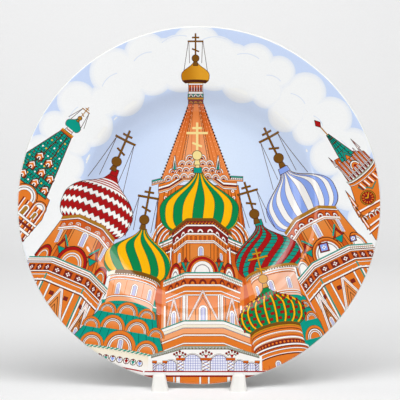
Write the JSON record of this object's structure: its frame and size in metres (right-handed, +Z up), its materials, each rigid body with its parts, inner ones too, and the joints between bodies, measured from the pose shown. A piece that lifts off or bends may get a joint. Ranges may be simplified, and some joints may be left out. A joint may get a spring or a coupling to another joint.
{
  "type": "souvenir plate on stand",
  "caption": "Round flat dinner-plate form with a printed front, leaning in the notches of a small folding easel stand with a swinging prop leg.",
  "frame": {"origin": "under the middle of the bounding box, on the surface that the stand rests on", "axes": "+Z up, the plate's printed front faces -Y and leans back, +X to the right as seen from the front"},
  "size_m": [0.27, 0.1272, 0.2666],
  "materials": {
    "porcelain": "gloss",
    "stand_plastic": "satin",
    "pin_steel": "satin"
  },
  "bodies": {
    "stand": {"left_leg": "stand_plastic", "right_leg": "stand_plastic", "lower_crossbar": "stand_plastic", "upper_crossbar": "stand_plastic", "hinge_pin": "pin_steel"},
    "prop": {"prop_leg": "stand_plastic"},
    "plate": {"plate": "porcelain"}
  },
  "joints": [
    {"name": "prop_fold", "type": "hinge", "parent": "stand", "child": "prop", "pos_m": [0, 0.01266, 0.13253], "axis": [-1, 0, 0], "range_deg": [0, 32]},
    {"name": "plate_lift", "type": "slide", "parent": "stand", "child": "plate", "axis": [0, 0.2164, 0.9763], "range_m": [0, 0.15]}
  ]
}
